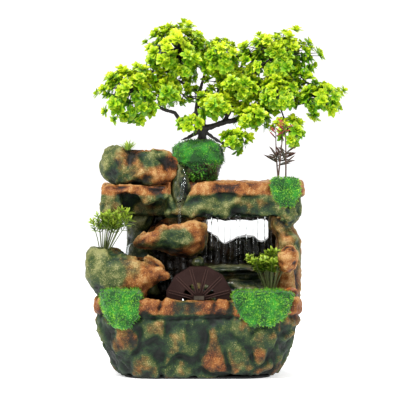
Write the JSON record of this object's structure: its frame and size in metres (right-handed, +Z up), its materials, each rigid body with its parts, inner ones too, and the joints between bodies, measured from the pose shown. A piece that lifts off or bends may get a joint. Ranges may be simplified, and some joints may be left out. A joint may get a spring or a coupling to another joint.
{
  "type": "tabletop water fountain",
  "caption": "Tabletop rockery fountain: stepped bowls, a rain trough over a see-through window, a paddle wheel in the pool, moss and an artificial bonsai tree.",
  "frame": {"origin": "centre of the foam pad's underside, on the table", "axes": "+Z up, -Y the front face with the wheel and bowls, +X to the viewer's right"},
  "size_m": [0.2536, 0.1683, 0.3568],
  "materials": {
    "foam": "fine closed-cell foam",
    "cast_rock": "hand-painted cast resin: rust, olive and dark green-teal over brown",
    "cast_rock_dark": "dark painted cast resin",
    "moss": "flocked artificial moss",
    "bark": "moulded near-black bark",
    "leaf_lime": "soft moulded plastic leaves, yellow-green at the tips",
    "leaf_green": "soft moulded plastic leaves",
    "stem_green": "moulded stems",
    "leaf_red": "moulded dark red leaves and stems",
    "wheel_brown": "dark brown moulded plastic",
    "steel": "ground rod",
    "pump_black": "moulded, fine texture",
    "rubber_black": "moulded rubber",
    "iron": "varnished plates",
    "copper": "enamelled winding",
    "white_ceramic": "ground",
    "ferrite": "sintered ferrite",
    "clear_hose": "clear soft hose",
    "fitting_grey": "moulded"
  },
  "bodies": {
    "rockery": {"base_pad": "foam", "basin": "cast_rock", "back_wall": "cast_rock", "left_column": "cast_rock", "left_arch": "cast_rock", "top_trough": "cast_rock", "upper_boulder": "cast_rock", "middle_boulder": "cast_rock", "lower_boulder": "cast_rock", "spout_rock": "cast_rock", "right_pillar": "cast_rock", "splash_ledge": "cast_rock", "plant_rock": "cast_rock", "pillar_stone": "cast_rock", "rim_pebble": "cast_rock", "hanging_stone": "cast_rock", "ledge_stone": "cast_rock", "moss_front_left": "moss", "moss_front_right": "moss", "moss_top_right": "moss", "left_plant_leaves": "leaf_green", "right_plant_leaves": "leaf_green", "grass_tuft": "leaf_green", "left_plant_stems": "stem_green", "right_plant_stems": "stem_green", "red_plant": "leaf_red", "rear_bearing_post": "cast_rock_dark", "front_bearing": "cast_rock_dark", "pump_housing": "pump_black", "volute_cover": "pump_black", "pump_nozzle": "pump_black", "shaft_bushes": "rubber_black", "suction_cups": "rubber_black", "cord_gland": "rubber_black", "cable_grommet": "rubber_black", "motor_core": "iron", "motor_coil": "copper", "impeller_shaft": "white_ceramic", "supply_hose": "clear_hose", "bowl_inlet": "fitting_grey"},
    "wheel": {"wheel_front_plate": "wheel_brown", "wheel_rear_plate": "wheel_brown", "wheel_paddles": "wheel_brown", "wheel_hub": "wheel_brown", "wheel_axle": "steel"},
    "rotor": {"impeller": "pump_black", "rotor_magnet": "ferrite"},
    "strainer": {"intake_cover": "pump_black"},
    "dial": {"flow_dial": "pump_black"},
    "tree": {"root_rock": "cast_rock", "root_moss": "moss", "trunk": "bark", "foliage_left": "leaf_lime", "foliage_crown": "leaf_lime", "foliage_right": "leaf_lime", "foliage_low": "leaf_lime"},
    "door": {"access_door": "cast_rock"}
  },
  "joints": [
    {"name": "wheel_spin", "type": "hinge", "parent": "rockery", "child": "wheel", "pos_m": [0.0015, -0.051, 0.078], "axis": [0, 1, 0], "continuous": true},
    {"name": "rotor_spin", "type": "hinge", "parent": "rockery", "child": "rotor", "pos_m": [-0.0585, 0.052, 0.033], "axis": [1, 0, 0], "continuous": true},
    {"name": "strainer_pull", "type": "slide", "parent": "rockery", "child": "strainer", "axis": [-1, 0, 0], "range_m": [0, 0.006]},
    {"name": "dial_turn", "type": "hinge", "parent": "strainer", "child": "dial", "pos_m": [-0.0745, 0.052, 0.033], "axis": [1, 0, 0], "range_deg": [0, 90]},
    {"name": "tree_lift", "type": "slide", "parent": "rockery", "child": "tree", "axis": [0, 0, 1], "range_m": [0, 0.04]},
    {"name": "door_pull", "type": "slide", "parent": "rockery", "child": "door", "axis": [0, 1, 0], "range_m": [0, 0.03]}
  ]
}
